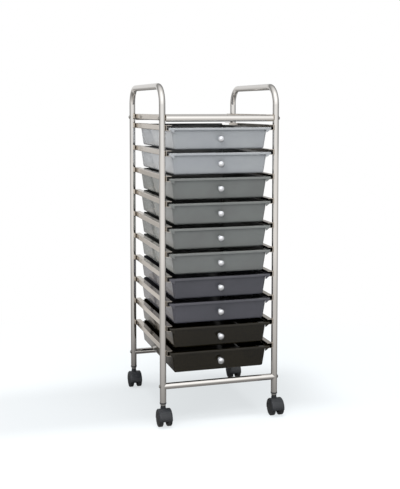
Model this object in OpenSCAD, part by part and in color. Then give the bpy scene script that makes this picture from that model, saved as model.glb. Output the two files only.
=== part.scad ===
// Rolling cart with a column of drawers between two chromed tube frames, a tray on top
// and four twin-wheel casters.
// The origin is on the floor, midway between the four pairs of wheels. X is to the
// right and Z is up. The drawers open towards -Y.

/* [Frame] */
// Distance between the left and right posts, centre to centre
post_gap_x = 334; // [300:2:380]
// Distance between the front and back posts, centre to centre
post_gap_y = 380; // [330:2:430]
// Outer diameter of the side frames' tube
tube_d = 18; // [16:0.5:20]
// Wall of the side frames' tube
tube_wall = 1.2; // [0.8:0.1:1.6]
// Centre-line radius of the bends at the handles
handle_r = 50; // [30:1:80]
// Height of the handles above the upper cross bars, centre to centre
handle_rise = 89.3; // [85:0.1:120]
// Outer diameter of the cross bars
bar_d = 18; // [12:0.5:20]
// Wall of the cross bars
bar_wall = 1.2; // [0.8:0.1:1.6]
// Height of the lower cross bars above the ends of the posts
low_bar_rise = 46; // [44:0.5:70]

/* [Bolts and plugs] */
// Diameter of the bolts that hold the cross bars
bolt_d = 6; // [5:0.5:7]
// Diameter of the bolts' domed heads
bolt_head_d = 11; // [9:0.5:12]
// Height of the bolts' domed heads
bolt_head_h = 3.2; // [2:0.1:4]
// Length of the bolts under the head
bolt_l = 36; // [30:0.5:40]
// Play round a bolt in the posts
bolt_play = 0.3; // [0.1:0.05:0.5]
// Length of the threaded plugs in the bars' ends
plug_l = 20; // [16:0.5:30]

/* [Rails] */
// Width of a rail's flanges, measured from the back of its web
rail_w = 15.5; // [14:0.5:20]
// Height of a rail
rail_h = 15.5; // [14:0.5:20]
// Thickness of the rails' sheet
rail_sheet = 1.2; // [0.8:0.1:1.6]
// Inside radius of the rails' bends
rail_bend_r = 0.8; // [0.4:0.1:1.5]
// How far a rail runs past the outer faces of the posts
rail_overrun = 0; // [0:0.5:4]

/* [Drawers] */
// Number of drawers
drawer_count = 10; // [3:1:10]
// Height of a drawer, underside to rim
drawer_h = 60.5; // [50:0.5:80]
// Space between a drawer and the rim of the one below
drawer_gap = 9.6; // [8:0.1:30]
// Space between the lower cross bars and the lowest drawer
low_gap = 25.6; // [10:0.1:60]
// Wall of the drawers and of the tray
wall = 1.8; // [1.4:0.1:2.4]
// Inward lean of the front and side walls over a drawer's height
draft = 8.5; // [4:0.5:12]
// Inward lean of the back wall over a drawer's height
back_draft = 4; // [2:0.5:8]
// Radius of a drawer's upright corners at the top
corner_r = 10; // [9:0.5:18]
// Outer radius between a drawer's walls and floor
floor_r = 6; // [5:0.5:12]
// Height of the lip that hangs from the rim
lip_h = 6.5; // [4:0.5:8]
// Corner radius of the rim
rim_r = 4.5; // [4:0.5:12]
// Width of the rim in front of the front wall
front_ledge = 6; // [5:0.5:12]
// Width of the rim behind the back wall
back_ledge = 5; // [4:0.5:10]
// How far the back wall stands up above the rim
back_rise = 5; // [2:0.5:7]
// Space between a drawer's rim and the back ends of its rails
back_space = 1; // [0.5:0.5:10]
// Play between the rim and a rail's web, each side
side_play = 6.3; // [1:0.1:9]
// Space between a rail's flanges and the drawer's wall
wall_play = 1.5; // [1:0.1:6]
// Height of a lip's edge above the flange that it runs on
run_gap = 0.3; // [0.2:0.05:0.5]
// Height of the stop tabs below the lip
tab_h = 7.5; // [4:0.5:9]
// Distance of a stop tab inside the drawer's walls
tab_inset = 6.5; // [0:0.5:8]
// Width of a stop tab at its top
tab_w = 12.5; // [10:0.5:16]
// Width of a stop tab's tip
tab_tip = 2; // [1:0.5:6]
// Distance of the tip from the tab's inner end
tab_lead = 3.5; // [0:0.5:6]

/* [Tray] */
// Height of the top tray, underside to rim
tray_h = 10; // [8:0.5:12]
// Space between the tray and the rim of the top drawer
tray_gap = 18.7; // [18:0.1:40]
// Inward lean of the tray's walls
tray_draft = 2.5; // [1:0.5:4]
// Outer radius between the tray's walls and floor
tray_floor_r = 4; // [2.5:0.5:5]
// Width of the tray's rim at the front and back
tray_ledge = 6; // [4:0.5:10]
// Height of the upper cross bars' centres above the undersides of the tray's rails
bar_above_rail = 5; // [4:0.5:7]
// Space between the tray's rails or rim and the upper cross bars
bar_space = 0.5; // [0.3:0.1:2]

/* [Knobs] */
// Diameter of a knob
knob_d = 18.5; // [16:0.5:24]
// Length of a knob, from the drawer's front
knob_l = 19; // [17:0.5:24]
// Radius of the dome on a knob's head
knob_dome_r = 12; // [11:0.5:20]
// Radius of the edge of a knob's head
knob_edge_r = 2.5; // [1.5:0.1:4]
// Diameter of a knob's neck
knob_neck_d = 9; // [8:0.5:12]
// Diameter of a knob's foot
knob_foot_d = 13; // [10:0.5:15]
// Height of a knob's foot
knob_foot_h = 2; // [1:0.1:4]
// Depth of the knob's centre below the rim
knob_drop = 30; // [20:0.5:34]
// Diameter of the screw that holds a knob
screw_d = 4; // [3:0.5:5]
// Diameter of the screw's head
screw_head_d = 8; // [7:0.5:10]
// Height of the screw's head
screw_head_h = 2.6; // [2:0.1:3.5]
// Play round the screw in the drawer's front
screw_play = 0.2; // [0.1:0.05:0.4]
// Length of screw inside the knob
screw_grip = 12; // [8:0.5:13]

/* [Casters] */
// Diameter of a wheel
wheel_d = 46; // [40:0.5:50]
// Distance from a caster's mid-plane to the middle of a wheel's domed side
wheel_reach = 21.5; // [21:0.5:27]
// Radius of the shoulders of a wheel
shoulder_r = 2.5; // [2:0.5:5]
// Height of the dome on a wheel's side
dome_h = 2.5; // [2:0.5:5]
// Distance from the swivel's axis back to the axle
caster_trail = 13; // [8:0.5:15]
// Angle of the casters from straight ahead, in degrees
caster_turn = 0; // [0:1:45]
// Thickness of the hood's shell over the wheels
hood_wall = 3; // [2:0.1:4]
// Space between the hood and the wheels' treads
hood_space = 1; // [0.6:0.1:2]
// Width of the hood
hood_w = 38; // [34:0.5:42]
// Radius of the hood's outer edges
hood_edge_r = 4; // [2:0.5:5]
// Thickness of the web between the wheels
web_t = 12; // [10:0.5:14]
// Space between the web and each wheel
web_space = 0.5; // [0.3:0.1:1]
// Height of the shell's lower edge above the floor, beside the axle
hood_edge_z = 19; // [18:0.5:26]
// Fall of the shell's lower edge towards the leading side, in degrees
hood_tilt = 4; // [0:1:20]
// Diameter of the web's boss round the axle
axle_boss_d = 24; // [14:0.5:24]
// Diameter of the axle
axle_d = 5; // [4:0.5:6]
// Play round the axle in a wheel, on the radius
axle_play = 0.05; // [0.02:0.01:0.1]
// Depth of an axle's end in its wheel, short of the dome
axle_cover = 4.5; // [4:0.5:8]
// Diameter of the hood's neck
neck_d = 14; // [11:0.5:14]
// Height of the neck above the hood's shell
neck_h = 5.9; // [4:0.1:12]
// Diameter of the boss under the neck
boss_d = 15.5; // [15:0.5:22]
// Height of the boss above the hood's shell
boss_rise = 1.5; // [0.5:0.1:3]

/* [Stems and sockets] */
// Depth of a stem in the hood
stem_depth = 17; // [12:0.5:20]
// Diameter of the part of a stem that the hood turns on
swivel_d = 7; // [6:0.5:8]
// Play round the stem in the hood, on the radius
swivel_play = 0.05; // [0.02:0.01:0.1]
// Diameter of the stem's collar
collar_d = 15.5; // [12:0.5:18]
// Height of the stem's collar
collar_h = 4.4; // [3:0.1:6]
// Diameter of the stem's pin in the socket
pin_d = 7.8; // [7:0.1:8]
// Length of the stem's pin
pin_l = 32; // [24:0.5:34]
// Space between the collar and the parts above and below it
collar_space = 0.1; // [0.05:0.05:0.3]
// How far the socket's flange stands out past the post
flange_lip = 0.5; // [0.25:0.25:3]
// Thickness of the socket's flange
flange_t = 3.5; // [2:0.1:5]
// Length of the socket inside the post
socket_l = 34; // [33:0.5:38]
// Play round the pin in the socket, on the radius
pin_play = 0.1; // [0.05:0.01:0.2]

/* [Hidden] */
$fn = 48;
// Facets round the spheres and rounds of a hull
hull_fn = 24;
// Overlap of cutters past the faces that they cut
cut = 1;
// Height of the flat-sided band at the top of a hull
band = 0.2;
// Space between a coped or butted bar end and what it meets
joint_space = 0.05;
SIDES = [-1, 1];
LEFT = -1;
RIGHT = 1;
FRONT = -1;
BACK = 1;

// Caster, from the floor up
wheel_r = wheel_d / 2;
cavity_r = wheel_r + hood_space;
hood_r = cavity_r + hood_wall;
hood_top_z = wheel_r + hood_r;
neck_top_z = hood_top_z + neck_h;
collar_z = neck_top_z + collar_space;
flange_z = collar_z + collar_h + collar_space;
post_end_z = flange_z + flange_t;
bore_z = neck_top_z - stem_depth;
wheel_in = web_t / 2 + web_space;
wheel_edge = wheel_reach - dome_h;
axle_end = wheel_reach - axle_cover;

// Frame
post_x = post_gap_x / 2;
post_y = post_gap_y / 2;
tube_r = tube_d / 2;
bar_r = bar_d / 2;
flange_d = tube_d + 2 * flange_lip;
frame_y = caster_trail * cos(caster_turn);
web_x = post_x - tube_r;
low_bar_z = post_end_z + low_bar_rise;

// Drawers and tray, from the lower cross bars up
level_pitch = drawer_h + drawer_gap;
lowest_rim_z = low_bar_z + bar_r + low_gap + drawer_h;
top_rim_z = lowest_rim_z + (drawer_count - 1) * level_pitch;
tray_rim_z = top_rim_z + tray_gap + tray_h;
rail_under_rim = lip_h + run_gap + rail_sheet;
tray_rail_z = tray_rim_z - rail_under_rim;
top_bar_z = tray_rail_z + bar_above_rail;
handle_z = top_bar_z + handle_rise;
bend_z = handle_z - handle_r;

// Rims and walls
rail_end = post_y + tube_r + rail_overrun;
rim_x = web_x - rail_sheet - side_play;
wall_x = web_x - rail_w - wall_play;
tab_t = wall;
rim_front = -(rail_end + run_gap + tab_t);
rim_back = rail_end - back_space;
wall_front = rim_front + front_ledge;
wall_back = rim_back - back_ledge;
inner_bar_y = post_y - bar_r - bar_space;
tray_rim_y = inner_bar_y - bar_space;
tray_wall_y = tray_rim_y - tray_ledge;
front_lean = atan(draft / drawer_h);

GREYS = ["#9b9fa3", "#9b9fa3", "#7c7e7b", "#7c7e7b", "#7a7c7a",
         "#7a7c7a", "#4b4b50", "#4b4b50", "#262420", "#262420"];
CHROME = "#cfccc8";
BLACK = "#303235";

CORNERS = ["front_left", "front_right", "back_left", "back_right"];
CORNER_SIDES = [[LEFT, FRONT], [RIGHT, FRONT], [LEFT, BACK], [RIGHT, BACK]];

// Height of the rim of a drawer, counted from the top
function rim_z(level) = top_rim_z - (level - 1) * level_pitch;

// Moves from the middle of the frame to the part's own origin
module on_frame() {
    translate([0, frame_y, 0]) children();
}

// Mirrors its children along the axis whose sign is negative
module mirrored(sides) {
    mirror([sides[0] < 0 ? 1 : 0, sides[1] < 0 ? 1 : 0, 0]) children();
}

// Flat rectangle with round corners, centred, with true arcs
module round_rect(w, l, r) {
    square([w - 2 * r, l], center = true);
    square([w, l - 2 * r], center = true);
    for (sx = SIDES, sy = SIDES)
        translate([sx * (w / 2 - r), sy * (l / 2 - r)]) circle(r);
}

// Side frames: one tube bent into a front post, a handle and a back post
module side_tube(r, past) {
    for (sy = SIDES) {
        translate([0, sy * post_y, post_end_z - past])
            cylinder(r = r, h = bend_z - post_end_z + past);
        mirrored([0, sy]) translate([0, post_y - handle_r, bend_z])
            rotate([90, 0, 90]) rotate_extrude(angle = 90)
                translate([handle_r, 0]) circle(r);
    }
    translate([0, handle_r - post_y, handle_z]) rotate([-90, 0, 0])
        cylinder(r = r, h = post_gap_y - 2 * handle_r);
}

module bolt_hole(z) {
    for (sy = SIDES)
        translate([0, sy * post_y, z]) rotate([0, 90, 0])
            cylinder(d = bolt_d + 2 * bolt_play, h = tube_d + 2 * cut, center = true);
}

module side_frame(side) {
    color(CHROME) on_frame() translate([side * post_x, 0, 0]) difference() {
        side_tube(tube_r, 0);
        side_tube(tube_r - tube_wall, cut);
        bolt_hole(low_bar_z);
        bolt_hole(top_bar_z);
    }
}

// Cross bars: the lower ones are coped to the posts, the upper ones butt on the rails
module low_bar(side) {
    color(CHROME) on_frame() translate([0, side * post_y, low_bar_z]) difference() {
        rotate([0, 90, 0]) cylinder(r = bar_r, h = post_gap_x, center = true);
        rotate([0, 90, 0])
            cylinder(r = bar_r - bar_wall, h = post_gap_x + 2 * cut, center = true);
        for (sx = SIDES)
            translate([sx * post_x, 0, 0])
                cylinder(r = tube_r + joint_space, h = bar_d + 2 * cut, center = true);
    }
}

module top_bar(side) {
    bar_l = 2 * (web_x - rail_sheet - joint_space);
    color(CHROME) on_frame() translate([0, side * post_y, top_bar_z])
        rotate([0, 90, 0]) difference() {
            cylinder(r = bar_r, h = bar_l, center = true);
            cylinder(r = bar_r - bar_wall, h = bar_l + 2 * cut, center = true);
        }
}

// One solid at each end of each of the four cross bars, its Z axis pointing outwards
module at_bar_ends() {
    on_frame() for (sx = SIDES, sy = SIDES, z = [low_bar_z, top_bar_z])
        translate([0, sy * post_y, z]) rotate([0, sx * 90, 0]) children();
}

module bar_bolts() {
    head_z = post_x + tube_r + joint_space;
    dome_r = (pow(bolt_head_d / 2, 2) + pow(bolt_head_h, 2)) / (2 * bolt_head_h);
    color("silver") at_bar_ends() {
        translate([0, 0, head_z - bolt_l]) cylinder(d = bolt_d, h = bolt_l + bolt_head_h / 2);
        intersection() {
            translate([0, 0, head_z]) cylinder(d = bolt_head_d, h = bolt_head_h);
            translate([0, 0, head_z + bolt_head_h - dome_r]) sphere(dome_r);
        }
    }
}

module bar_plugs() {
    plug_end = web_x - rail_sheet - 2 * joint_space;
    color("gray") at_bar_ends() translate([0, 0, plug_end - plug_l]) difference() {
        cylinder(r = bar_r - bar_wall, h = plug_l);
        translate([0, 0, -cut]) cylinder(d = bolt_d, h = plug_l + 2 * cut);
    }
}

// Rails: bent channels, open towards the drawers
module rail_profile() {
    outer_r = rail_bend_r + rail_sheet;
    difference() {
        translate([rail_w / 2 + outer_r / 2, rail_h / 2])
            round_rect(rail_w + outer_r, rail_h, outer_r);
        translate([rail_sheet + rail_w / 2 + outer_r, rail_h / 2])
            round_rect(rail_w + 2 * outer_r, rail_h - 2 * rail_sheet, rail_bend_r);
        translate([rail_w, -cut]) square([2 * outer_r, rail_h + 2 * cut]);
    }
}

module rail(side, z) {
    mirrored([side, 0]) translate([web_x, rail_end, z]) rotate([90, 0, 0])
        mirrored([-1, 0]) linear_extrude(2 * rail_end) rail_profile();
}

module rail_pair(level) {
    color(CHROME) on_frame() for (side = SIDES)
        rail(side, rim_z(level) - rail_under_rim);
}

// The tray's rails: their flanges stop at the upper bars and their webs run on behind
module tray_rails() {
    color(CHROME) on_frame() for (side = SIDES) difference() {
        rail(side, tray_rail_z);
        for (sy = SIDES) {
            translate([side * (web_x - rail_sheet - rail_w / 2),
                       sy * (inner_bar_y + rail_end / 2), tray_rail_z + rail_h / 2])
                cube([rail_w, rail_end, rail_h + 2 * cut], center = true);
            translate([side * web_x, sy * post_y, top_bar_z]) rotate([0, 90, 0])
                cylinder(d = bolt_d + 2 * bolt_play, h = rail_w, center = true);
        }
    }
}

// Convex bin with leaning walls and a round foot, its rim at z = 0. top and lean hold the
// distances at the back, front and sides: [half width, front y, back y].
module bin_hull(top, lean, h, r_top, r_floor, inset, rise) {
    // xs, yf and yb place the centres of the rounds along the floor, where the walls have
    // come in by this share of their lean
    reach = (h - r_floor) / h;
    xs = top[0] - reach * lean[0] - r_floor / cos(atan(lean[0] / h));
    yf = top[1] + reach * lean[1] + r_floor / cos(atan(lean[1] / h));
    yb = top[2] - reach * lean[2] - r_floor / cos(atan(lean[2] / h));
    side_in = inset / cos(atan(lean[0] / h));
    hull() {
        for (sx = SIDES, y = [yf, yb])
            translate([sx * xs, y, r_floor - h]) sphere(r_floor - inset, $fn = hull_fn);
        for (sx = SIDES, y = [top[1] + r_top, top[2] - r_top])
            translate([sx * (top[0] - r_top), y, -band])
                cylinder(r = r_top - side_in, h = band + rise, $fn = hull_fn);
    }
}

// Rim plate with its hanging lip, top face at z = 0
module rim(half_w, front, back) {
    w = 2 * half_w;
    l = back - front;
    translate([0, (front + back) / 2, 0]) difference() {
        translate([0, 0, -lip_h]) linear_extrude(lip_h) round_rect(w, l, rim_r);
        translate([0, 0, -lip_h - cut]) linear_extrude(lip_h + cut - wall)
            round_rect(w - 2 * wall, l - 2 * wall, rim_r - wall);
    }
}

// Stop tab at a front corner: it meets the rail's end when the drawer is shut
module stop_tab(side) {
    tab_in = wall_x - tab_inset;
    translate([0, rim_front + tab_t, 0]) rotate([90, 0, 0]) linear_extrude(tab_t)
        mirrored([side, 0]) polygon([
            [tab_in, wall - lip_h], [tab_in + tab_w, wall - lip_h],
            [tab_in + tab_w, -lip_h], [tab_in + tab_lead + tab_tip, -lip_h - tab_h],
            [tab_in + tab_lead, -lip_h - tab_h], [tab_in, -lip_h]]);
}

// Puts the front wall's outer face at z = 0, centred on the knob, with Z pointing out of it
module on_front(level) {
    on_frame() translate([0, wall_front + draft * knob_drop / drawer_h,
                          rim_z(level) - knob_drop])
        rotate([90 + front_lean, 0, 0]) children();
}

// Upstand on the back wall, between the rim's corners
module back_upstand(top) {
    span = 2 * (top[0] - corner_r);
    translate([-span / 2, top[2] - wall, -wall]) cube([span, wall, wall + back_rise]);
}

module drawer(level) {
    top = [wall_x, wall_front, wall_back];
    lean = [draft, draft, back_draft];
    color(GREYS[level - 1]) difference() {
        on_frame() translate([0, 0, rim_z(level)]) difference() {
            union() {
                rim(rim_x, rim_front, rim_back);
                bin_hull(top, lean, drawer_h, corner_r, floor_r, 0, 0);
                for (side = SIDES) stop_tab(side);
                back_upstand(top);
            }
            bin_hull(top, lean, drawer_h, corner_r, floor_r, wall, cut);
        }
        on_front(level)
            cylinder(d = screw_d + 2 * screw_play, h = 4 * wall, center = true);
    }
}

// Half section of a knob: foot, neck and a domed head with a round edge tangent to it
module knob_profile() {
    edge_x = knob_d / 2 - knob_edge_r;
    dome_z = knob_l - knob_dome_r;
    edge_z = dome_z + sqrt(pow(knob_dome_r - knob_edge_r, 2) - pow(edge_x, 2));
    meet = knob_dome_r / (knob_dome_r - knob_edge_r);
    square([knob_foot_d / 2, knob_foot_h]);
    square([knob_neck_d / 2, edge_z]);
    translate([edge_x, edge_z]) circle(knob_edge_r);
    translate([0, edge_z - knob_edge_r]) square([edge_x, knob_edge_r]);
    intersection() {
        translate([0, dome_z]) circle(knob_dome_r);
        polygon([[0, edge_z - knob_edge_r / 2], [edge_x, edge_z - knob_edge_r / 2],
                 [edge_x, edge_z], [edge_x * meet, dome_z + (edge_z - dome_z) * meet],
                 [edge_x, knob_l + cut], [0, knob_l + cut]]);
    }
}

// Knob with its screw, which comes through the drawer's front from inside
module knob(level) {
    on_front(level) {
        color("gainsboro") translate([0, 0, joint_space]) difference() {
            rotate_extrude() knob_profile();
            translate([0, 0, -cut])
                cylinder(d = screw_d + 2 * joint_space, h = screw_grip + 2 * cut);
        }
        color("silver") {
            translate([0, 0, -wall - 2 * joint_space])
                cylinder(d = screw_d, h = wall + screw_grip);
            translate([0, 0, -wall - joint_space - screw_head_h])
                cylinder(d = screw_head_d, h = screw_head_h);
        }
    }
}

module top_tray() {
    color("#3a3b3e") on_frame() translate([0, 0, tray_rim_z]) difference() {
        union() {
            rim(rim_x, -tray_rim_y, tray_rim_y);
            bin_hull([wall_x, -tray_wall_y, tray_wall_y],
                     [tray_draft, tray_draft, tray_draft],
                     tray_h, corner_r, tray_floor_r, 0, 0);
        }
        bin_hull([wall_x, -tray_wall_y, tray_wall_y],
                 [tray_draft, tray_draft, tray_draft],
                 tray_h, corner_r, tray_floor_r, wall, cut);
    }
}

// Casters. at_caster stands at a post's foot, with the wheels trailing towards -Y.
module at_caster(corner) {
    sides = CORNER_SIDES[corner];
    on_frame() translate([sides[0] * post_x, sides[1] * post_y, 0])
        rotate([0, 0, -caster_turn]) children();
}

// X axis of the children lies along the axle, at the wheels' centre
module at_axle(corner) {
    at_caster(corner) translate([0, -caster_trail, wheel_r]) children();
}

// Solid of revolution about the axle, from a profile drawn as [radius, place on the axle]
module about_axle() {
    rotate([0, 90, 0]) rotate_extrude() children();
}

module hood(corner) {
    color(BLACK) difference() {
        union() {
            at_axle(corner) {
                difference() {
                    about_axle() intersection() {
                        round_rect(2 * hood_r, hood_w, hood_edge_r);
                        translate([0, -hood_w]) square([hood_r, 2 * hood_w]);
                    }
                    translate([0, 0, hood_edge_z - wheel_r]) rotate([-hood_tilt, 0, 0])
                        translate([0, 0, -2 * hood_r]) cube(4 * hood_r, center = true);
                }
                rotate([0, 90, 0]) cylinder(d = axle_boss_d, h = web_t, center = true);
            }
            at_caster(corner) {
                translate([0, 0, wheel_r])
                    cylinder(d = boss_d, h = hood_top_z + boss_rise - wheel_r);
                translate([0, 0, wheel_r]) cylinder(d = neck_d, h = neck_top_z - wheel_r);
            }
        }
        at_axle(corner) {
            for (side = SIDES)
                mirrored([side, 0]) translate([web_t / 2, 0, 0]) rotate([0, 90, 0])
                    cylinder(r = cavity_r, h = wheel_reach);
            rotate([0, 90, 0]) cylinder(d = axle_d, h = 2 * wheel_reach, center = true);
        }
        at_caster(corner) translate([0, 0, bore_z])
            cylinder(d = swivel_d + 2 * swivel_play, h = neck_top_z);
    }
}

module wheel(corner, side) {
    color(BLACK) at_axle(corner) mirrored([side, 0]) difference() {
        about_axle() wheel_profile();
        rotate([0, 90, 0])
            cylinder(d = axle_d + 2 * axle_play, h = axle_end + axle_play);
    }
}

// Half section of a wheel: a tread with round shoulders and a domed outer side
module wheel_profile() {
    dome_edge = wheel_r - shoulder_r;
    dome_r = (pow(dome_edge, 2) + pow(dome_h, 2)) / (2 * dome_h);
    translate([0, wheel_in + shoulder_r])
        square([wheel_r, wheel_edge - wheel_in - 2 * shoulder_r]);
    translate([0, wheel_in]) square([dome_edge, wheel_edge - wheel_in]);
    for (place = [wheel_in + shoulder_r, wheel_edge - shoulder_r])
        translate([dome_edge, place]) circle(shoulder_r);
    intersection() {
        translate([0, wheel_reach - dome_r]) circle(dome_r);
        translate([0, wheel_in]) square([dome_edge, wheel_reach]);
    }
}

module axle(corner) {
    color("silver") at_axle(corner) rotate([0, 90, 0])
        cylinder(d = axle_d, h = 2 * (axle_end - web_space), center = true);
}

// Sockets in the posts' ends and the steel stems that they hold
module caster_sockets() {
    color("#222325") for (corner = [0 : 3]) at_caster(corner) difference() {
        union() {
            translate([0, 0, flange_z]) cylinder(d = flange_d, h = flange_t);
            translate([0, 0, flange_z]) cylinder(r = tube_r - tube_wall, h = flange_t + socket_l);
        }
        translate([0, 0, flange_z - cut])
            cylinder(d = pin_d + 2 * pin_play, h = flange_t + socket_l + 2 * cut);
    }
}

module caster_stems() {
    color("silver") for (corner = [0 : 3]) at_caster(corner) {
        translate([0, 0, bore_z + collar_space]) cylinder(d = swivel_d, h = collar_z - bore_z);
        translate([0, 0, collar_z]) cylinder(d = collar_d, h = collar_h);
        translate([0, 0, collar_z]) cylinder(d = pin_d, h = collar_h + flange_t + pin_l);
    }
}

side_frame(LEFT);  // side_frame_left
side_frame(RIGHT);  // side_frame_right
top_bar(FRONT);  // bar_top_front
top_bar(BACK);  // bar_top_back
low_bar(FRONT);  // bar_low_front
low_bar(BACK);  // bar_low_back
bar_bolts();
bar_plugs();
top_tray();
tray_rails();  // rails_tray
caster_sockets();
caster_stems();
for (i = [1 : drawer_count]) {
    rail_pair(i);
    drawer(i);
    knob(i);
}
for (i = [0 : 3]) {
    hood(i);
    axle(i);
    wheel(i, CORNER_SIDES[i][0]);
    wheel(i, -CORNER_SIDES[i][0]);
}
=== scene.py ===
"""Looks of a rolling cart: chromed tube frames, ten moulded drawers, a tray and four casters.

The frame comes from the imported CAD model. Everything is in metres, +Z up, and the drawers
open towards -Y.
"""

import math

import bmesh
import bpy
from mathutils import Matrix, Vector


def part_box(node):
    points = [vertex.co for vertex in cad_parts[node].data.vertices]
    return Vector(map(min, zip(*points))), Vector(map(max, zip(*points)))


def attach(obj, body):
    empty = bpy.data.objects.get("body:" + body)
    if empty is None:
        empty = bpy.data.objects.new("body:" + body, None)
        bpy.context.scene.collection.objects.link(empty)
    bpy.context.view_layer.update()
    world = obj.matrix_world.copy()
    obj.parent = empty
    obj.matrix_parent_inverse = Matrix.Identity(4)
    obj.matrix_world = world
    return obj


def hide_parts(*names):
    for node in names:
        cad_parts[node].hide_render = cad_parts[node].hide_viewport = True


LEVELS = range(1, 11)
CORNERS = ("front_left", "front_right", "back_left", "back_right")
TURN = 2 * math.pi

# Drawers and tray
WALL = 0.0018
LIP_H = 0.0065
RIM_R = 0.0045
FRONT_LEDGE = 0.006
BACK_LEDGE = 0.005
BACK_RISE = 0.005
BACK_RISE_R = 0.0025
TUB_INSET = 0.0095
DRAFT = 0.0085
BACK_DRAFT = 0.004
CORNER_R = 0.010
FLOOR_R = 0.006
RIM_EDGE_R = 0.0016
LIP_EDGE_R = 0.0006
MOUTH_R = 0.0007
ROOT_R = 0.0012
SOFT_EDGE = 0.0004
TRAY_LEDGE = 0.006
TRAY_DRAFT = 0.0025
TRAY_FLOOR_R = 0.004

# Stop tabs
TAB_IN = 0.1345
TAB_W = 0.0125
TAB_H = 0.0075
TAB_TIP = 0.002
TAB_LEAD = 0.0005
TAB_TOP = -0.004
TAB_PLAY = 0.0001

# How a tub's skin is divided: how far in from the floor's edge its flat rings lie, the angles
# of its round foot in degrees from level, the last about the wall's own lean, shares of the
# plain wall and its top, and the strips beside the rounds, which keep the flats evenly shaded
FLOOR_MARGINS = (0.02, 0.001)
FOOT_ANGLES = (90, 78, 66, 54, 42, 30, 19, 8.4)
WALL_SHARES = (0.3, 0.65)
WALL_TOP = -0.0012
STRIP_WIDE = 0.0008
STRIP_MID = 0.0006
STRIP_NARROW = 0.0004

# Knobs and their screws
KNOB_DROP = 0.030
KNOB_D = 0.0185
KNOB_L = 0.019
DOME_R = 0.012
KNOB_EDGE_R = 0.0025
NECK_D = 0.009
WAIST_R = 0.0014
FOOT_D = 0.013
FOOT_H = 0.002
FOOT_EDGE_R = 0.0004
SCREW_D = 0.004
SCREW_PLAY = 0.0002
SCREW_HEAD_D = 0.008
SCREW_HEAD_H = 0.0026
SCREW_CROWN = 0.0008
SCREW_GRIP = 0.012
RECESS_SIZE = (0.0046, 0.0009, 0.0030)
RECESS_TAPER = 0.55
RECESS_TURN = 20

# Casters
TRAIL = 0.013
HOOD_WALL = 0.003
HOOD_SPACE = 0.001
HOOD_W = 0.038
HOOD_EDGE_R = 0.004
WEB_T = 0.012
WEB_SPACE = 0.0005
WHEEL_REACH = 0.0215
AXLE_HALF = 0.0165
HOOD_EDGE_Z = 0.019
HOOD_TILT = math.radians(4)
AXLE_BOSS_D = 0.024
AXLE_D = 0.005
SWIVEL_BORE_D = 0.0071
STEM_DEPTH = 0.017
BOSS_D = 0.0155
BOSS_RISE = 0.0015
BOSS_EDGE_R = 0.001
HOOD_NECK_D = 0.014
NECK_EDGE_R = 0.0008
SHOULDER_R = 0.0025
DOME_H = 0.0025
RING_R = 0.0125
RING_W = 0.0012
RING_DEPTH = 0.0006
RING_EDGE = 0.0004
HUB_RADII = (0.0121, 0.0100, 0.0075, 0.0050, 0.0025)

# Radius and depth of the points of a wheel's dished inner side
DISH = ((0.006, 0), (0.0066, 0.0022), (0.0150, 0.0022), (0.0156, 0))

# Play round a pin in its bore, on the radius
PIN_PLAY = 0.00005

# Rails and the weld beads that hold them
RAIL_H = 0.0155
BEAD_L = 0.0052
BEAD_H = 0.0022
BEAD_IN = 0.0006
BEAD_SINK = 0.0001

# Studio: what reflections see. A level goes with the cosine between the way that is looked and
# the way that is named, from -1 for straight away from it to 1. Distances over the floor are
# in metres from the cart's middle.
LIT_WALL_WAY = (-0.22, -0.73, 0.64)
LIT_FLOOR_WAY = (-0.288, -0.958, 0.0)
WINDOW_WAY = (-0.07, 0.99, 0.12)
WINDOW_LEVELS = ((0.86, 0.0), (0.92, 0.2), (0.96, 0.5), (1, 0.54))
ROOM_LEVELS = ((-1, 0.24), (-0.2, 0.26), (0, 0.38), (0.32, 0.64), (0.54, 0.84), (0.74, 0.98),
               (0.84, 1.25), (1, 1.6))
# The floor as reflections see it: a painted glow by bearing, and by distance darker close to the
# cart's feet as painted shade.
FLOOR_LEVELS = ((-1, 0.16), (-0.94, 0.22), (-0.84, 0.64), (-0.55, 0.3), (0, 0.52), (0.34, 0.74),
                (0.7, 0.86), (1, 0.93))
FLOOR_FAR = 3.2
FLOOR_FALL = ((0, 0.2), (0.2, 0.26), (0.35, 0.34), (0.7, 0.54), (1.2, 0.68), (2.1, 0.8), (3.2, 1.0))

# A painted brighter strip on the floor behind the cart, seen only in reflections, which the
# drawers' left walls mirror as a painted highlight along their lower edges
BRIGHT_STRIP_WAY = (-0.2, 0.98, 0.0)
BRIGHT_STRIP_LEVELS = ((-1, 0), (0.86, 0), (0.95, 0.3), (1, 0.3))
BRIGHT_STRIP_FALL = ((0, 0), (0.25, 0.2), (0.5, 1), (1.8, 1), (3.2, 0))

# What the camera sees of the floor: its own grey and glow near the cart, pure white further
# out, and a faint long painted shadow to the left, set by position and cast by no lamp. Each
# edge of the painted shadow runs from where it starts to where it is full, the first along X.
FLOOR_HALF = 14
FLOOR_GREY = (0.2, 0.204, 0.208)
FLOOR_GLOW = 0.755
WHITE_FROM = 0.45
WHITE_AT = 1.3
SHADE_DEPTH = 0.13
FIRST_EDGE = (0.5, 0.25)
SHADE_EDGES = (("X", -2.2, -1.0), ("Y", -0.23, -0.08), ("Y", 0.36, 0.14))

# Lamps: name, place, what it is aimed at, size and power in watts
FILL_LEVEL = 0.5
LAMPS = (("key", (-2.2, -2.6, 2.8), (0, 0, 0.5), (1.8, 1.8), 54),
         ("top", (0.0, -0.5, 3.1), (0, 0, 0.5), (1.4, 1.4), 78),
         ("right", (2.8, -0.9, 1.9), (0, 0, 0.4), (1.2, 1.6), 20),
         ("left", (-3.0, 0.3, 1.3), (0, 0, 0.5), (1.6, 1.6), 50))


def srgb(code):
    """Linear colour, with alpha, of an sRGB hex value."""
    parts = [int(code[i:i + 2], 16) / 255 for i in (1, 3, 5)]
    return [c / 12.92 if c <= 0.04045 else ((c + 0.055) / 1.055) ** 2.4 for c in parts] + [1.0]


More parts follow.
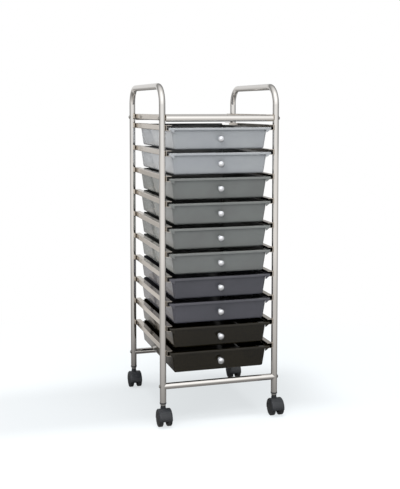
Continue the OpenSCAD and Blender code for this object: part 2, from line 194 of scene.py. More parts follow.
def add(tree, kind, values=None, links=None, stops=(), **settings):
    """Adds a node with its settings, the constants on its sockets and the links into it. stops
    are the places and grey levels of a ramp, whose two ends are there already."""
    node = tree.nodes.new(kind)
    for i, (position, level) in enumerate(stops):
        ramp = node.color_ramp.elements
        stop = ramp[-min(i, 1)] if i in (0, len(stops) - 1) else ramp.new(position)
        stop.position = position
        stop.color = (level, level, level, 1)
    for name, value in settings.items():
        setattr(node, name, value)
    for socket, value in (values or {}).items():
        node.inputs[socket].default_value = value
    for socket, source in (links or {}).items():
        tree.links.new(source, node.inputs[socket])
    return node


def new_material(name):
    """An empty node material: its tree and its output node."""
    material = bpy.data.materials.new(name)
    material.use_nodes = True
    tree = material.node_tree
    tree.nodes.clear()
    return material, tree, add(tree, "ShaderNodeOutputMaterial")


# Materials. A noise's scale is in cells per metre, so 900 is a grain of about 1.1 mm.
def chromed_steel(name, colour, streak, rough_low, rough_high):
    """Bright chromium over polished nickel on steel: a sharp mirror, slightly warm, with faint
    polishing lines along the metal and a soft haze that comes and goes."""
    material, tree, output = new_material(name)
    place = add(tree, "ShaderNodeTexCoord").outputs["Object"]
    along = add(tree, "ShaderNodeMapping", {"Scale": streak}, {"Vector": place})
    lines = add(tree, "ShaderNodeTexNoise", {"Scale": 1.0, "Detail": 4.0, "Roughness": 0.6},
                {"Vector": along.outputs["Vector"]})
    haze = add(tree, "ShaderNodeTexNoise", {"Scale": 28.0, "Detail": 3.0}, {"Vector": place})
    both = add(tree, "ShaderNodeMath", links={0: lines.outputs["Fac"], 1: haze.outputs["Fac"]},
               operation="MULTIPLY")
    rough = add(tree, "ShaderNodeMapRange",
                {"From Min": 0.12, "From Max": 0.42, "To Min": rough_low, "To Max": rough_high},
                {"Value": both.outputs["Value"]})
    bump = add(tree, "ShaderNodeBump", {"Strength": 0.05, "Distance": 0.0002},
               {"Height": lines.outputs["Fac"]})
    shader = add(tree, "ShaderNodeBsdfPrincipled", {"Base Color": srgb(colour), "Metallic": 1.0},
                 {"Roughness": rough.outputs["Result"], "Normal": bump.outputs["Normal"]})
    tree.links.new(shader.outputs["BSDF"], output.inputs["Surface"])
    return material


def zinc_plated_steel():
    """Clear zinc plate on bolts, stems and screws: grey, fine-grained and half dull."""
    material, tree, output = new_material("zinc_plated_steel")
    place = add(tree, "ShaderNodeTexCoord").outputs["Object"]
    grain = add(tree, "ShaderNodeTexNoise", {"Scale": 900.0, "Detail": 2.0}, {"Vector": place})
    colour = add(tree, "ShaderNodeMix", {"A": srgb("#A9A8A4"), "B": srgb("#C4C3BF")},
                 {"Factor": grain.outputs["Fac"]}, data_type="RGBA")
    rough = add(tree, "ShaderNodeMapRange", {"To Min": 0.22, "To Max": 0.42},
                {"Value": grain.outputs["Fac"]})
    shader = add(tree, "ShaderNodeBsdfPrincipled", {"Metallic": 1.0},
                 {"Base Color": colour.outputs["Result"], "Roughness": rough.outputs["Result"]})
    tree.links.new(shader.outputs["BSDF"], output.inputs["Surface"])
    return material


def satin_nickel():
    """Satin nickel plate on a die-cast knob: pale, softly blurred, with a fine blasted grain."""
    material, tree, output = new_material("satin_nickel")
    place = add(tree, "ShaderNodeTexCoord").outputs["Object"]
    grain = add(tree, "ShaderNodeTexNoise", {"Scale": 1600.0, "Detail": 2.0}, {"Vector": place})
    rough = add(tree, "ShaderNodeMapRange", {"To Min": 0.16, "To Max": 0.26},
                {"Value": grain.outputs["Fac"]})
    bump = add(tree, "ShaderNodeBump", {"Strength": 0.1, "Distance": 0.00005},
               {"Height": grain.outputs["Fac"]})
    shader = add(tree, "ShaderNodeBsdfPrincipled",
                 {"Base Color": srgb("#EBEEF3"), "Metallic": 1.0},
                 {"Roughness": rough.outputs["Result"], "Normal": bump.outputs["Normal"]})
    tree.links.new(shader.outputs["BSDF"], output.inputs["Surface"])
    return material


def glossy_moulding(name, colour, tint, rough_low=0.07, rough_high=0.13):
    """Glossy injection-moulded polypropylene: an even colour that drifts a little where the
    melt flowed, with painted shade that darkens it in tight recesses, a polished-mould gloss,
    and a faint orange peel."""
    material, tree, output = new_material(name)
    place = add(tree, "ShaderNodeTexCoord").outputs["Object"]
    flow = add(tree, "ShaderNodeTexNoise", {"Scale": 9.0, "Detail": 3.0, "Distortion": 0.4},
               {"Vector": place})
    drift = add(tree, "ShaderNodeMapRange", {"From Min": 0.32, "From Max": 0.68},
                {"Value": flow.outputs["Fac"]})
    mixed = add(tree, "ShaderNodeMix", {"A": srgb(colour), "B": srgb(tint)},
                {"Factor": drift.outputs["Result"]}, data_type="RGBA")
    # Painted shade: ambient occlusion within the part darkens its colour in tight recesses, such as
    # the strip under the lip, where shade falls.
    recess = add(tree, "ShaderNodeAmbientOcclusion", {"Distance": 0.014}, only_local=True,
                 samples=8)
    dust_and_painted_shade = add(tree, "ShaderNodeMapRange",
               {"From Min": 0.35, "From Max": 0.85, "To Min": 0.3, "To Max": 1.0},
               {"Value": recess.outputs["AO"]})
    colour_with_painted_shade = add(tree, "ShaderNodeVectorMath",
                 links={0: mixed.outputs["Result"], "Scale": dust_and_painted_shade.outputs["Result"]},
                 operation="SCALE")
    peel = add(tree, "ShaderNodeTexNoise", {"Scale": 420.0, "Detail": 2.0}, {"Vector": place})
    rough = add(tree, "ShaderNodeMapRange", {"To Min": rough_low, "To Max": rough_high},
                {"Value": flow.outputs["Fac"]})
    bump = add(tree, "ShaderNodeBump", {"Strength": 0.12, "Distance": 0.00008},
               {"Height": peel.outputs["Fac"]})
    shader = add(tree, "ShaderNodeBsdfPrincipled", {"IOR": 1.49},
                 {"Base Color": colour_with_painted_shade.outputs["Vector"], "Roughness": rough.outputs["Result"],
                  "Normal": bump.outputs["Normal"]})
    tree.links.new(shader.outputs["BSDF"], output.inputs["Surface"])
    return material


def grained_nylon(name, colour, tint, grain_scale, rough_low, rough_high):
    """Moulded nylon with a spark-eroded grain: a dry sheen broken up into fine specks."""
    material, tree, output = new_material(name)
    place = add(tree, "ShaderNodeTexCoord").outputs["Object"]
    grain = add(tree, "ShaderNodeTexNoise", {"Scale": grain_scale, "Detail": 3.0},
                {"Vector": place})
    dust_and_painted_shade = add(tree, "ShaderNodeTexNoise", {"Scale": 60.0, "Detail": 4.0}, {"Vector": place})
    mixed = add(tree, "ShaderNodeMix", {"A": srgb(colour), "B": srgb(tint)},
                {"Factor": dust_and_painted_shade.outputs["Fac"]}, data_type="RGBA")
    rough = add(tree, "ShaderNodeMapRange", {"To Min": rough_low, "To Max": rough_high},
                {"Value": grain.outputs["Fac"]})
    bump = add(tree, "ShaderNodeBump", {"Strength": 0.25, "Distance": 0.0001},
               {"Height": grain.outputs["Fac"]})
    shader = add(tree, "ShaderNodeBsdfPrincipled", {"IOR": 1.53},
                 {"Base Color": mixed.outputs["Result"], "Roughness": rough.outputs["Result"],
                  "Normal": bump.outputs["Normal"]})
    tree.links.new(shader.outputs["BSDF"], output.inputs["Surface"])
    return material


# Mesh helpers
def rounded_rectangle(half_w, front, back, radius, z):
    """Points of a rectangle with round corners, anticlockwise from above."""
    steps = 8
    corners = ((half_w - radius, back - radius, 0), (radius - half_w, back - radius, 1),
               (radius - half_w, front + radius, 2), (half_w - radius, front + radius, 3))
    points = []
    for x, y, quarter in corners:
        for i in range(steps + 1):
            a = (quarter + i / steps) * math.pi / 2
            points.append(Vector((x + radius * math.cos(a), y + radius * math.sin(a), z)))
    return points


def loft(rings):
    """A bmesh skin over rings of equally many points, closed at the first and last ring."""
    bm = bmesh.new()
    rows = [[bm.verts.new(p) for p in ring] for ring in rings]
    for low, high in zip(rows, rows[1:]):
        for i in range(len(low)):
            j = (i + 1) % len(low)
            bm.faces.new((low[i], low[j], high[j], high[i]))
    bm.faces.new(rows[0])
    bm.faces.new(rows[-1])
    bmesh.ops.remove_doubles(bm, verts=bm.verts, dist=1e-6)
    bmesh.ops.recalc_face_normals(bm, faces=bm.faces)
    return bm


def lathe(profile, steps):
    """A closed solid of revolution about Z from points (radius, z) that start and end on it."""
    bm = bmesh.new()
    rows = []
    for r, z in profile:
        if r < 1e-9:
            rows.append([bm.verts.new((0, 0, z))] * steps)
        else:
            rows.append([bm.verts.new((r * math.cos(TURN * i / steps),
                                       r * math.sin(TURN * i / steps), z))
                         for i in range(steps)])
    for low, high in zip(rows, rows[1:]):
        for i in range(steps):
            j = (i + 1) % steps
            face = list(dict.fromkeys((low[i], low[j], high[j], high[i])))
            if len(face) > 2:
                bm.faces.new(face)
    bmesh.ops.recalc_face_normals(bm, faces=bm.faces)
    return bm


def arc(cx, cz, radius, start, end, steps):
    """Points (radius, z) of an arc about (cx, cz), its angles in degrees from outwards."""
    angles = [math.radians(start + (end - start) * i / steps) for i in range(steps + 1)]
    return [(cx + radius * math.cos(a), cz + radius * math.sin(a)) for a in angles]


def link_new(name, data):
    """A new object at the origin, linked to the scene."""
    obj = bpy.data.objects.new(name, data)
    bpy.context.scene.collection.objects.link(obj)
    return obj


def smooth_by_angle(obj, angle):
    """Shades an object smooth but for its edges over an angle in degrees."""
    for face in obj.data.polygons:
        face.use_smooth = True
    obj.data.set_sharp_from_angle(angle=math.radians(angle))
    return obj


def to_object(name, bm, smooth_angle=35):
    """A linked object at the origin from a bmesh, smooth but for edges over smooth_angle."""
    mesh = bpy.data.meshes.new(name)
    bm.to_mesh(mesh)
    bm.free()
    return smooth_by_angle(link_new(name, mesh), smooth_angle)


def copy_at(source, name, matrix, material):
    """A copy of an object whose mesh is moved by the matrix while its object stays put."""
    mesh = source.data.copy()
    mesh.name = name
    mesh.transform(matrix)
    mesh.materials.clear()
    mesh.materials.append(material)
    return link_new(name, mesh)


def apply_modifiers(obj):
    """Turns an object with its modifiers into a plain mesh."""
    bpy.context.view_layer.update()
    graph = bpy.context.evaluated_depsgraph_get()
    mesh = bpy.data.meshes.new_from_object(obj.evaluated_get(graph))
    obj.modifiers.clear()
    obj.data = mesh


def carve(obj, operation, *tools):
    """Joins or cuts an object with each tool, which is then deleted."""
    for tool in tools:
        modifier = obj.modifiers.new("carve", "BOOLEAN")
        modifier.operation = operation
        modifier.solver = "EXACT"
        modifier.object = tool
        apply_modifiers(obj)
        bpy.data.objects.remove(tool)


# Drawers and tray
def tub_rings(half_w, front, back, h, leans, r_top, r_floor, inset):
    """Rings of a tub's wall from the middle of its floor up, its rim at z = 0, moved inwards
    by inset. leans are those of the sides, the front and the back."""
    tilt = [math.atan(lean / h) for lean in leans]
    reach = (h - r_floor) / h
    xs = half_w - reach * leans[0] - r_floor / math.cos(tilt[0])
    yf = front + reach * leans[1] + r_floor / math.cos(tilt[1])
    yb = back - reach * leans[2] - r_floor / math.cos(tilt[2])
    r = r_floor - inset
    rings = []
    for margin in FLOOR_MARGINS:
        rings.append(rounded_rectangle(xs - margin, yf + margin, yb - margin, 0, inset - h))
    for degrees in FOOT_ANGLES:
        a = math.radians(degrees)
        out = r * math.cos(a)
        start = r_floor - h - r * math.sin(a)
        rings.append(rounded_rectangle(xs + out, yf - out, yb + out, max(out, 0), start))
    side = inset / math.cos(tilt[0])
    corner = r_top - side
    rise = WALL_TOP - start
    for z in [start + STRIP_WIDE] + [start + part * rise for part in WALL_SHARES] + [WALL_TOP]:
        share = (z - start) / -start
        rings.append(rounded_rectangle(
            xs + out + (half_w - side - xs - out) * share,
            yf - out + (front + side - yf + out) * share,
            yb + out + (back - side - yb - out) * share,
            out + (corner - out) * share, z))
    return rings


def moulded_tub(name, rim, tub, h, leans, r_top, r_floor):
    """A drafted tub hanging from a rim with a rounded lip, one wall thickness all over, its
    rim at z = 0. rim and tub are (half width, front, back) of the rim and of the walls."""

    def from_rim(inwards, z):
        return rounded_rectangle(rim[0] - inwards, rim[1] + inwards, rim[2] - inwards,
                                 RIM_R - inwards, z)

    def from_wall(outwards, z):
        return rounded_rectangle(tub[0] + outwards, tub[1] - outwards, tub[2] + outwards,
                                 r_top + outwards, z)

    lean = leans[0] / h
    side = WALL / math.cos(math.atan(lean))
    lip_inside = WALL + LIP_EDGE_R
    lip_foot = LIP_EDGE_R - LIP_H
    lip = ([(lip_inside + STRIP_WIDE, -WALL)]
           + arc(lip_inside, -lip_inside, LIP_EDGE_R, 90, 180, 3)
           + arc(WALL - LIP_EDGE_R, lip_foot, LIP_EDGE_R, 0, -90, 3)
           + arc(LIP_EDGE_R, lip_foot, LIP_EDGE_R, 270, 180, 3)
           + [(0, lip_foot + STRIP_NARROW), (0, -RIM_EDGE_R - STRIP_NARROW)]
           + arc(RIM_EDGE_R, -RIM_EDGE_R, RIM_EDGE_R, 180, 90, 4)
           + [(RIM_EDGE_R + STRIP_MID, 0)])
    mouth = ([(MOUTH_R - side + STRIP_MID, 0)]
             + arc(MOUTH_R - side - lean * MOUTH_R, -MOUTH_R, MOUTH_R, 90, 180, 3))

    rings = tub_rings(*tub, h, leans, r_top, r_floor, 0)
    for degrees in (0, 30, 60, 90):
        a = math.radians(degrees)
        rings.append(from_wall(ROOT_R * (1 - math.cos(a)) - lean * WALL * math.cos(a),
                               -WALL - ROOT_R + ROOT_R * math.sin(a)))
    rings.append(from_wall(ROOT_R + STRIP_WIDE, -WALL))
    rings += [from_rim(*point) for point in lip]
    rings += [from_wall(*point) for point in mouth]
    rings += reversed(tub_rings(*tub, h, leans, r_top, r_floor, WALL))
    return to_object(name, loft(rings), smooth_angle=40)


def plate(name, outline, front, back):
    """An upright plate with softened edges over an outline of points (x, z)."""
    bm = loft([[Vector((x, y, z)) for x, z in outline] for y in (front, back)])
    bmesh.ops.bevel(bm, geom=bm.edges[:], offset=SOFT_EDGE, segments=2, affect="EDGES",
                    clamp_overlap=True)
    return to_object(name, bm)


def stop_tab(side):
    """The tab that hangs from the lip's front corner, slanting in towards its foot."""
    foot = -LIP_H - TAB_H
    tip = TAB_IN + TAB_LEAD
    outline = ((TAB_IN, TAB_TOP), (TAB_IN + TAB_W, TAB_TOP), (TAB_IN + TAB_W, -LIP_H),
               (tip + TAB_TIP, foot), (tip, foot), (TAB_IN, -LIP_H))
    return plate("stop_tab", [(side * x, z) for x, z in outline], TAB_PLAY, WALL - TAB_PLAY)


def back_upstand(half_w, back):
    """The strip that stands on the back wall, its upper corners rounded off."""
    r, half = BACK_RISE_R, half_w - CORNER_R
    root, play = -0.0016, 0.0002
    outline = [(half, root)]
    outline += arc(half - r, BACK_RISE - r, r, 0, 90, 6)
    outline += arc(r - half, BACK_RISE - r, r, 90, 180, 6) + [(-half, root)]
    return plate("back_upstand", outline, back - WALL, back - play)


def rim_height(node):
    """Height of a drawer's rim, below the strip on its back wall."""
    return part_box(node)[1].z - BACK_RISE


def knob_place(rim_z, wall_front):
    """The matrix that puts a knob's own Z axis out of a drawer's leaning front."""
    h = rim_height("drawer_1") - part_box("drawer_1")[0].z
    foot = Vector((0, wall_front + DRAFT * KNOB_DROP / h, rim_z - KNOB_DROP))
    return Matrix.Translation(foot) @ Matrix.Rotation(math.pi / 2 + math.atan(DRAFT / h), 4, "X")


def drawers(materials):
    """Ten drawers cut from one moulding, each in its own plastic."""
    low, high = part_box("drawer_1")
    h = rim_height("drawer_1") - low.z
    rim = (high.x, low.y, high.y)
    tub = (high.x - TUB_INSET, low.y + FRONT_LEDGE, high.y - BACK_LEDGE)
    pattern = moulded_tub("drawer_pattern", rim, tub, h, (DRAFT, DRAFT, BACK_DRAFT),
                          CORNER_R, FLOOR_R)
    tabs = [stop_tab(side) for side in (-1, 1)]
    for tab in tabs:
        tab.data.transform(Matrix.Translation((0, rim[1], 0)))
    carve(pattern, "UNION", *tabs, back_upstand(tub[0], tub[2]))
    hole_r, inside, outside = SCREW_D / 2 + SCREW_PLAY, -0.006, 0.004
    hole = to_object("hole", lathe([(0, inside), (hole_r, inside), (hole_r, outside),
                                    (0, outside)], 24))
    hole.data.transform(knob_place(0, tub[1]))
    carve(pattern, "DIFFERENCE", hole)
    smooth_by_angle(pattern, 40)
    for level in LEVELS:
        node = f"drawer_{level}"
        slot, material = materials[level]
        place = Matrix.Translation((0, 0, rim_height(node)))
        piece = copy_at(pattern, f"moulded_drawer_{level}", place, material)
        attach(piece, node)
        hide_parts(node)
    bpy.data.objects.remove(pattern)


def tray(material):
    """The shallow tray that hangs by its rim between the upper rails."""
    low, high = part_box("top_tray")
    rim = (high.x, low.y, high.y)
    tub = (high.x - TUB_INSET, low.y + TRAY_LEDGE, high.y - TRAY_LEDGE)
    pattern = moulded_tub("tray_pattern", rim, tub, high.z - low.z, (TRAY_DRAFT,) * 3,
                          CORNER_R, TRAY_FLOOR_R)
    piece = copy_at(pattern, "moulded_tray", Matrix.Translation((0, 0, high.z)), material)
    bpy.data.objects.remove(pattern)
    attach(piece, "root")
    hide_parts("top_tray")


# Knobs
def knob_profile():
    """Half section of a knob: a foot, a waisted neck and a domed head."""
    edge_x = KNOB_D / 2 - KNOB_EDGE_R
    dome_z = KNOB_L - DOME_R
    edge_z = dome_z + math.sqrt((DOME_R - KNOB_EDGE_R) ** 2 - edge_x ** 2)
    meet = math.degrees(math.asin((edge_z - dome_z) / (DOME_R - KNOB_EDGE_R)))
    under = edge_z - KNOB_EDGE_R
    foot_x = FOOT_D / 2 - FOOT_EDGE_R
    waist_x = NECK_D / 2 + WAIST_R
    bore, bore_end = SCREW_D / 2 + PIN_PLAY, SCREW_GRIP + 0.001
    return ([(0, bore_end), (bore, bore_end), (bore, 0), (foot_x, 0)]
            + arc(foot_x, FOOT_EDGE_R, FOOT_EDGE_R, -90, 0, 3)
            + arc(foot_x, FOOT_H - FOOT_EDGE_R, FOOT_EDGE_R, 0, 90, 3)
            + arc(waist_x, FOOT_H + WAIST_R, WAIST_R, -90, -180, 5)
            + arc(waist_x, under - WAIST_R, WAIST_R, 180, 90, 5)
            + arc(edge_x, edge_z, KNOB_EDGE_R, -90, meet, 9)
            + arc(0, dome_z, DOME_R, meet, 90, 10)[1:])


def knob_screw():
    """A pan-head screw with a cross recess, its head behind the drawer's front wall."""
    seat, r, head_r = -WALL, SCREW_D / 2, SCREW_HEAD_D / 2
    chamfer, burr = 0.0004, 0.0002
    edge = seat - SCREW_HEAD_H + SCREW_CROWN
    profile = ([(0, SCREW_GRIP), (r - chamfer, SCREW_GRIP), (r, SCREW_GRIP - chamfer)]
               + [(r, seat), (head_r - burr, seat), (head_r, seat - burr)]
               + arc(head_r - SCREW_CROWN, edge, SCREW_CROWN, 0, -75, 4)
               + [(0, seat - SCREW_HEAD_H)])
    screw = to_object("screw", lathe(profile, 32))
    length, width, depth = RECESS_SIZE
    for turn in (RECESS_TURN, RECESS_TURN + 90):
        bm = bmesh.new()
        bmesh.ops.create_cube(bm, size=1)
        for v in bm.verts:
            taper = RECESS_TAPER if v.co.z > 0 else 1.0
            v.co = Vector((v.co.x * length * taper, v.co.y * width * taper, v.co.z * depth))
        bmesh.ops.translate(bm, verts=bm.verts, vec=(0, 0, seat - SCREW_HEAD_H))
        bmesh.ops.rotate(bm, verts=bm.verts, cent=(0, 0, 0),
                         matrix=Matrix.Rotation(math.radians(turn), 3, "Z"))
        carve(screw, "DIFFERENCE", to_object("recess", bm))
    return smooth_by_angle(screw, 35)


def knobs(metal, steel):
    """A knob and its screw on each drawer."""
    wall_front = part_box("drawer_1")[0].y + FRONT_LEDGE
    head = to_object("knob_pattern", lathe(knob_profile(), 56), smooth_angle=40)
    screw = knob_screw()
    for level in LEVELS:
        place = knob_place(rim_height(f"drawer_{level}"), wall_front)
        knob = copy_at(head, f"cast_knob_{level}", place, metal)
        pin = copy_at(screw, f"knob_screw_{level}", place, steel)
        for piece, slot in ((knob, "knob_metal"), (pin, "fastener_steel")):
            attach(piece, f"drawer_{level}")
            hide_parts(f"knob_{level}")
    bpy.data.objects.remove(head)
    bpy.data.objects.remove(screw)


# Casters. The patterns are made about the axle, with X along it and Z up, trailing -Y.
def caster_place(corner):
    """The matrix from a caster's wheel centre, X along the axle, to its corner of the cart."""
    low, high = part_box(f"axle_{corner}")
    return Matrix.Translation((low + high) / 2)


def lay_along_x(bm):
    """Turns a solid of revolution about Z so that it lies along X."""
    bmesh.ops.rotate(bm, verts=bm.verts, cent=(0, 0, 0),
                     matrix=Matrix.Rotation(math.pi / 2, 3, "Y"))
    return bm


def disc(radius, x0, x1, edge=0.0, steps=96):
    """A round disc along the X axis, its rims rounded where edge is given."""
    half, mid = (x1 - x0) / 2, (x0 + x1) / 2
    rim = [(radius, -half), (radius, half)]
    if edge:
        rim = (arc(radius - edge, edge - half, edge, -90, 0, 5)
               + arc(radius - edge, half - edge, edge, 0, 90, 5))
    bm = lay_along_x(lathe([(0, -half)] + rim + [(0, half)], steps))
    bmesh.ops.translate(bm, verts=bm.verts, vec=(mid, 0, 0))
    return to_object("disc", bm)


def post(radius, z0, z1, y, edge=0.0):
    """An upright round post at (0, y), its top rounded where edge is given."""
    top = arc(radius - edge, z1 - edge, edge, 0, 90, 4) if edge else [(radius, z1)]
    bm = lathe([(0, z0), (radius, z0)] + top + [(0, z1)], 64)
    bmesh.ops.translate(bm, verts=bm.verts, vec=(0, y, 0))
    return to_object("post", bm)


def box_at(centre, size, tilt):
    """A box, turned about the X axis through the origin."""
    bm = bmesh.new()
    bmesh.ops.create_cube(bm, size=1)
    bmesh.ops.scale(bm, verts=bm.verts, vec=size)
    bmesh.ops.translate(bm, verts=bm.verts, vec=centre)
    bmesh.ops.rotate(bm, verts=bm.verts, cent=(0, 0, 0), matrix=Matrix.Rotation(tilt, 3, "X"))
    return to_object("box", bm)


def hood_pattern(wheel_r, neck_top):
    """Caster hood: a shell over both wheels, a web between them, and a neck for the stem."""
    cavity_r = wheel_r + HOOD_SPACE
    hood_r = cavity_r + HOOD_WALL
    sliver, beside, above = 0.00002, 0.03, 0.06
    web_half = WEB_T / 2
    shell = disc(hood_r, -HOOD_W / 2, HOOD_W / 2, HOOD_EDGE_R)
    lower = box_at((0, 0, -2 * hood_r), (4 * hood_r,) * 3, -HOOD_TILT)
    lower.data.transform(Matrix.Translation((0, 0, HOOD_EDGE_Z - wheel_r)))
    carve(shell, "DIFFERENCE", lower)
    carve(shell, "UNION",
          disc(AXLE_BOSS_D / 2, sliver - web_half, web_half - sliver),
          post(BOSS_D / 2, sliver, hood_r + BOSS_RISE, TRAIL, BOSS_EDGE_R),
          post(HOOD_NECK_D / 2, sliver, neck_top, TRAIL, NECK_EDGE_R))
    carve(shell, "DIFFERENCE",
          disc(cavity_r, web_half, beside),
          disc(cavity_r, -beside, -web_half),
          disc(AXLE_D / 2, -beside, beside, steps=32),
          post(SWIVEL_BORE_D / 2, neck_top - STEM_DEPTH, above, TRAIL))
    return smooth_by_angle(shell, 35)


def wheel_profile(wheel_r, inner, reach, bore_end):
    """Half section of a wheel along its axle, from the web side out: a blind bore, a dished
    inner side, a tread with round shoulders, a shallow ring and a domed hub."""
    edge = reach - DOME_H
    dome_edge = wheel_r - SHOULDER_R
    dome_r = (dome_edge ** 2 + DOME_H ** 2) / (2 * DOME_H)
    bore = AXLE_D / 2 + PIN_PLAY

    def dome(radius):
        return reach - dome_r + math.sqrt(dome_r ** 2 - radius ** 2)

    inside = [(0, bore_end), (bore, bore_end), (bore, inner)]
    inside += [(r, inner + depth) for r, depth in DISH]
    tread = (arc(dome_edge, inner + SHOULDER_R, SHOULDER_R, -90, 0, 8)
             + arc(dome_edge, edge - SHOULDER_R, SHOULDER_R, 0, 90, 8))
    side = [(r, dome(r)) for r in (dome_edge - 0.002, RING_R + RING_W + RING_EDGE)]
    ring = [(RING_R + RING_W * share, dome(RING_R + RING_W * share) - depth)
            for share, depth in ((1, 0), (0.75, RING_DEPTH), (0.25, RING_DEPTH), (0, 0))]
    hub = [(r, dome(r)) for r in HUB_RADII]
    return inside + tread + side + ring + hub + [(0, reach)]


def wheel_pattern(wheel_r, inner, reach, bore_end):
    """A wheel along the X axis, its web side towards the origin."""
    bm = lay_along_x(lathe(wheel_profile(wheel_r, inner, reach, bore_end), 72))
    return to_object("wheel_pattern", bm, smooth_angle=40)


def casters(hood_plastic, wheel_nylon):
    """A hood and two wheels at each corner."""
    low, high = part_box("axle_front_left")
    wheel_r = (low.z + high.z) / 2
    hood = hood_pattern(wheel_r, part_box("hood_front_left")[1].z - wheel_r)
    wheel = wheel_pattern(wheel_r, WEB_T / 2 + WEB_SPACE, WHEEL_REACH, AXLE_HALF + WEB_SPACE)
    for corner in CORNERS:
        place = caster_place(corner)
        piece = copy_at(hood, f"moulded_hood_{corner}", place, hood_plastic)
        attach(piece, f"caster_{corner}")
        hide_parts(f"hood_{corner}")
        outer_side = -1 if corner.endswith("left") else 1
        for which, side in (("outer", outer_side), ("inner", -outer_side)):
            turned = place @ Matrix.Rotation(0 if side > 0 else math.pi, 4, "Z")
            node = f"wheel_{corner}_{which}"
            piece = copy_at(wheel, f"moulded_{node}", turned, wheel_nylon)
            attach(piece, node)
            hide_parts(node)
    bpy.data.objects.remove(hood)
    bpy.data.objects.remove(wheel)


# Welds between the rails and the posts
def weld_tree():
    """Geometry nodes: one small flattened bead at each point, each a little different."""
    tree = bpy.data.node_groups.new("weld_beads", "GeometryNodeTree")
    face = tree.interface
    face.new_socket("Geometry", in_out="INPUT", socket_type="NodeSocketGeometry")
    for name, kind in (("Bead length", "NodeSocketFloat"), ("Bead height", "NodeSocketFloat"),
                       ("Seed", "NodeSocketInt"), ("Plating", "NodeSocketMaterial")):
        face.new_socket(name, in_out="INPUT", socket_type=kind)
    face.new_socket("Geometry", in_out="OUTPUT", socket_type="NodeSocketGeometry")
    given = add(tree, "NodeGroupInput").outputs
    bead = add(tree, "GeometryNodeMeshIcoSphere", {"Radius": 0.5, "Subdivisions": 3})
    points = add(tree, "GeometryNodeMeshToPoints", links={"Mesh": given["Geometry"]})
    uneven = add(tree, "FunctionNodeRandomValue", {"Min": (0.85,) * 3, "Max": (1.12,) * 3},
                 {"Seed": given["Seed"]}, data_type="FLOAT_VECTOR")
    size = add(tree, "ShaderNodeCombineXYZ",
               links={"X": given["Bead height"], "Y": given["Bead length"],
                      "Z": given["Bead height"]})
    scale = add(tree, "ShaderNodeVectorMath",
                links={0: uneven.outputs["Value"], 1: size.outputs["Vector"]},
                operation="MULTIPLY")
    placed = add(tree, "GeometryNodeInstanceOnPoints",
                 links={"Points": points.outputs["Points"], "Instance": bead.outputs["Mesh"],
                        "Scale": scale.outputs["Vector"]})
    real = add(tree, "GeometryNodeRealizeInstances",
               links={"Geometry": placed.outputs["Instances"]})
    smooth = add(tree, "GeometryNodeSetShadeSmooth", links={"Geometry": real.outputs["Geometry"]})
    plated = add(tree, "GeometryNodeSetMaterial",
                 links={"Geometry": smooth.outputs["Geometry"], "Material": given["Plating"]})
    add(tree, "NodeGroupOutput", links={"Geometry": plated.outputs["Geometry"]})
    return tree


def set_inputs(modifier, values):
    """Sets a Geometry Nodes modifier's inputs by their names."""
    for item in modifier.node_group.interface.items_tree:
        if item.item_type == "SOCKET" and item.in_out == "INPUT" and item.name in values:
            modifier[item.identifier] = values[item.name]


def welds(plating):
    """Beads above and below each rail where its web lies against a post."""
    spots = []
    post_low, post_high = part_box("side_frame_right")
    post_r = (post_high.x - post_low.x) / 2
    for node in ["rails_tray"] + [f"rails_{level}" for level in LEVELS]:
        low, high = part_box(node)
        for side in (-1, 1):
            for y in (post_low.y + post_r, post_high.y - post_r):
                for z in (low.z + BEAD_IN, low.z + RAIL_H - BEAD_IN):
                    spots.append((side * (high.x - BEAD_SINK), y, z))
    mesh = bpy.data.meshes.new("weld_beads")
    mesh.from_pydata(spots, [], [])
    beads = link_new("weld_beads", mesh)
    modifier = beads.modifiers.new("beads", "NODES")
    modifier.node_group = weld_tree()
    set_inputs(modifier, {"Bead length": BEAD_L, "Bead height": BEAD_H, "Seed": 7,
                          "Plating": plating})
    apply_modifiers(beads)
    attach(beads, "root")


